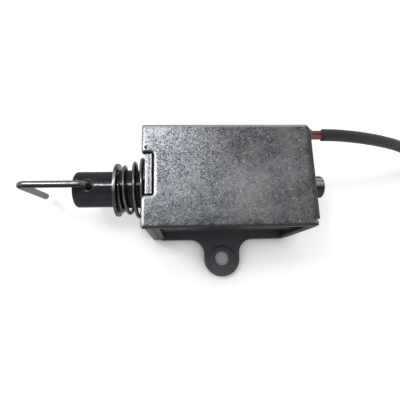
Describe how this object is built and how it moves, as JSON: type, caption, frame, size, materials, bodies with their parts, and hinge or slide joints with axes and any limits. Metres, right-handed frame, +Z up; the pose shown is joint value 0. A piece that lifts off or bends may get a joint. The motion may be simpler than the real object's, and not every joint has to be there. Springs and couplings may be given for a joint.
{
  "type": "electromagnet",
  "caption": "Pull-type electromagnet with a bent steel frame, black coil case with a mounting ear, spring-returned plunger, wire hook and sleeved leads.",
  "frame": {"origin": "centre of the frame's underside, where the case rests on its support", "axes": "+X along the plunger's axis from the hook end to the lead end, +Z up through the yoke's top leg, the mounting ear points to -Y"},
  "size_m": [0.1842, 0.0501, 0.0308],
  "materials": {
    "zinc_steel": "zinc plated, finely mottled",
    "black_moulding": "glossy moulding",
    "bobbin_nylon": "natural nylon",
    "copper_wire": "enamelled copper",
    "coil_tape": "polyester tape",
    "brass": "drawn",
    "pole_steel": "turned, plated",
    "spring_steel": "oiled spring steel",
    "bush_plastic": "moulded",
    "dark_steel": "turned and blackened",
    "bright_steel": "dark bright plating",
    "grommet_rubber": "soft moulded",
    "wire_insulation": "extruded",
    "tinned_copper": "tinned strands",
    "sleeve_rubber": "soft sleeving"
  },
  "bodies": {
    "frame": {"yoke": "zinc_steel", "front_plate": "zinc_steel", "base_plate": "black_moulding", "coil_case": "black_moulding", "case_cap": "black_moulding", "bobbin": "bobbin_nylon", "coil_winding": "copper_wire", "coil_tape": "coil_tape", "guide_tube": "brass", "pole_piece": "pole_steel", "shim_disc": "brass", "pole_retainer": "spring_steel", "front_bush": "bush_plastic", "return_spring": "spring_steel", "lead_grommet": "grommet_rubber", "lead_wire_1": "wire_insulation", "lead_wire_2": "wire_insulation", "lead_splices": "tinned_copper", "lead_sleeve": "sleeve_rubber", "lead_coil": "sleeve_rubber", "lead_tails": "wire_insulation", "tinned_ends": "tinned_copper"},
    "plunger": {"plunger": "dark_steel", "spring_clip": "bright_steel"},
    "hook": {"pull_hook": "bright_steel"}
  },
  "joints": [
    {"name": "plunger_slide", "type": "slide", "parent": "frame", "child": "plunger", "axis": [1, 0, 0], "range_m": [0, 0.006], "stiffness_N_per_m": 250, "deforming": ["return_spring"]},
    {"name": "hook_swivel", "type": "hinge", "parent": "plunger", "child": "hook", "pos_m": [-0.0432, 0, 0.0149], "axis": [0, 0, 1], "range_deg": [-60, 60]}
  ]
}
